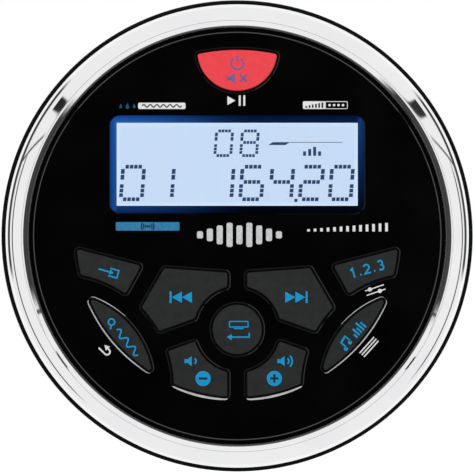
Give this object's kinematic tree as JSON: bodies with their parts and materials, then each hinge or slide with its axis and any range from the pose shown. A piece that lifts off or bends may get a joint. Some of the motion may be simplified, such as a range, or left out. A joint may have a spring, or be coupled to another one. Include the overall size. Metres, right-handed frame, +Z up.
{
  "type": "marine stereo",
  "caption": "Round panel-mount marine stereo: bright ring, black face with display and sprung keys, sealed barrel body and rear clamp with wing nuts.",
  "frame": {"origin": "on the barrel axis, in the plane where the gasket's back face meets the dash", "axes": "the face looks towards -Y, +Y runs along the barrel away from the user, +X is to the right of the face seen from the front, +Z is up"},
  "size_m": [0.1054, 0.1071, 0.1054],
  "materials": {
    "chrome": "polished bright plating",
    "gasket_rubber": "matte moulded rubber",
    "face_black": "gloss black moulding",
    "tape": "grey foam tape",
    "clear_window": "clear polished window",
    "display_blue": "deep blue moulding",
    "lcd": "lit liquid crystal glass",
    "light_guide": "clear diffusing plate",
    "lamp": "lamp resin",
    "strip_rubber": "layered rubber",
    "key_red": "satin silicone rubber",
    "key_grey": "satin silicone rubber",
    "mat_rubber": "silicone sheet",
    "contact_gold": "plated contact",
    "board_green": "green solder mask",
    "steel": "stainless steel",
    "body_black": "fine textured black moulding",
    "plug_ivory": "ivory moulding",
    "chip_black": "black package resin",
    "alloy": "plain aluminium",
    "capacitor_blue": "dark blue sleeve",
    "coil_copper": "lacquered copper wire",
    "cover_alloy": "cast and grey coated",
    "socket_nickel": "nickel plating",
    "jack_white": "white moulding",
    "jack_red": "red moulding"
  },
  "bodies": {
    "unit": {"chrome_ring": "chrome", "dash_gasket": "gasket_rubber", "body_seal": "gasket_rubber", "rear_seal": "gasket_rubber", "fascia": "face_black", "window_tape": "tape", "display_window": "clear_window", "lcd_frame": "display_blue", "lcd_glass": "lcd", "light_guide": "light_guide", "backlight_lamps": "lamp", "zebra_strip": "strip_rubber", "key_mat": "mat_rubber", "contact_pads": "contact_gold", "harness_pins": "contact_gold", "front_board": "board_green", "main_board": "board_green", "wireless_module": "board_green", "board_screws": "steel", "flange_screws": "steel", "chip_screw": "steel", "rear_screws": "steel", "clamp_studs": "steel", "tuner_can": "steel", "rear_housing": "body_black", "board_plugs": "plug_ivory", "ribbon_cable": "plug_ivory", "harness_socket": "plug_ivory", "amplifier_chip": "chip_black", "chip_clamp": "alloy", "capacitors": "capacitor_blue", "choke_coil": "coil_copper", "rear_cover": "cover_alloy", "antenna_socket": "socket_nickel", "line_jack_left": "jack_white", "line_jack_right": "jack_red"},
    "power": {"power_key": "key_red"},
    "source": {"source_key": "key_grey"},
    "band": {"band_key": "key_grey"},
    "track_back": {"track_back_key": "key_grey"},
    "track_forward": {"track_forward_key": "key_grey"},
    "enter": {"enter_key": "key_grey"},
    "volume_down": {"volume_down_key": "key_grey"},
    "volume_up": {"volume_up_key": "key_grey"},
    "preset": {"preset_key": "key_grey"},
    "audio": {"audio_key": "key_grey"},
    "clamp": {"clamp_bracket": "steel", "clamp_washers": "steel"},
    "nut_left": {"wing_nut_left": "steel"},
    "nut_right": {"wing_nut_right": "steel"}
  },
  "joints": [
    {"name": "power_press", "type": "slide", "parent": "unit", "child": "power", "axis": [0, 1, 0], "range_m": [0, 0.0008], "stiffness_N_per_m": 1500, "springref_m": -0.0005},
    {"name": "source_press", "type": "slide", "parent": "unit", "child": "source", "axis": [0, 1, 0], "range_m": [0, 0.0008], "stiffness_N_per_m": 1500, "springref_m": -0.0005},
    {"name": "band_press", "type": "slide", "parent": "unit", "child": "band", "axis": [0, 1, 0], "range_m": [0, 0.0008], "stiffness_N_per_m": 1500, "springref_m": -0.0005},
    {"name": "track_back_press", "type": "slide", "parent": "unit", "child": "track_back", "axis": [0, 1, 0], "range_m": [0, 0.0008], "stiffness_N_per_m": 1500, "springref_m": -0.0005},
    {"name": "track_forward_press", "type": "slide", "parent": "unit", "child": "track_forward", "axis": [0, 1, 0], "range_m": [0, 0.0008], "stiffness_N_per_m": 1500, "springref_m": -0.0005},
    {"name": "enter_press", "type": "slide", "parent": "unit", "child": "enter", "axis": [0, 1, 0], "range_m": [0, 0.0008], "stiffness_N_per_m": 1500, "springref_m": -0.0005},
    {"name": "volume_down_press", "type": "slide", "parent": "unit", "child": "volume_down", "axis": [0, 1, 0], "range_m": [0, 0.0008], "stiffness_N_per_m": 1500, "springref_m": -0.0005},
    {"name": "volume_up_press", "type": "slide", "parent": "unit", "child": "volume_up", "axis": [0, 1, 0], "range_m": [0, 0.0008], "stiffness_N_per_m": 1500, "springref_m": -0.0005},
    {"name": "preset_press", "type": "slide", "parent": "unit", "child": "preset", "axis": [0, 1, 0], "range_m": [0, 0.0008], "stiffness_N_per_m": 1500, "springref_m": -0.0005},
    {"name": "audio_press", "type": "slide", "parent": "unit", "child": "audio", "axis": [0, 1, 0], "range_m": [0, 0.0008], "stiffness_N_per_m": 1500, "springref_m": -0.0005},
    {"name": "clamp_slide", "type": "slide", "parent": "unit", "child": "clamp", "axis": [0, 1, 0], "range_m": [-0.006, 0.01]},
    {"name": "nut_left_turn", "type": "hinge", "parent": "clamp", "child": "nut_left", "pos_m": [-0.024, 0.075, 0], "axis": [0, 1, 0], "range_deg": [-2710, 4510]},
    {"name": "nut_right_turn", "type": "hinge", "parent": "clamp", "child": "nut_right", "pos_m": [0.024, 0.075, 0], "axis": [0, 1, 0], "range_deg": [-2710, 4510]}
  ],
  "couplings": [
    {"joint": "nut_left_turn", "follows": "clamp_slide", "rad_per_m": 7854},
    {"joint": "nut_right_turn", "follows": "clamp_slide", "rad_per_m": 7854}
  ]
}
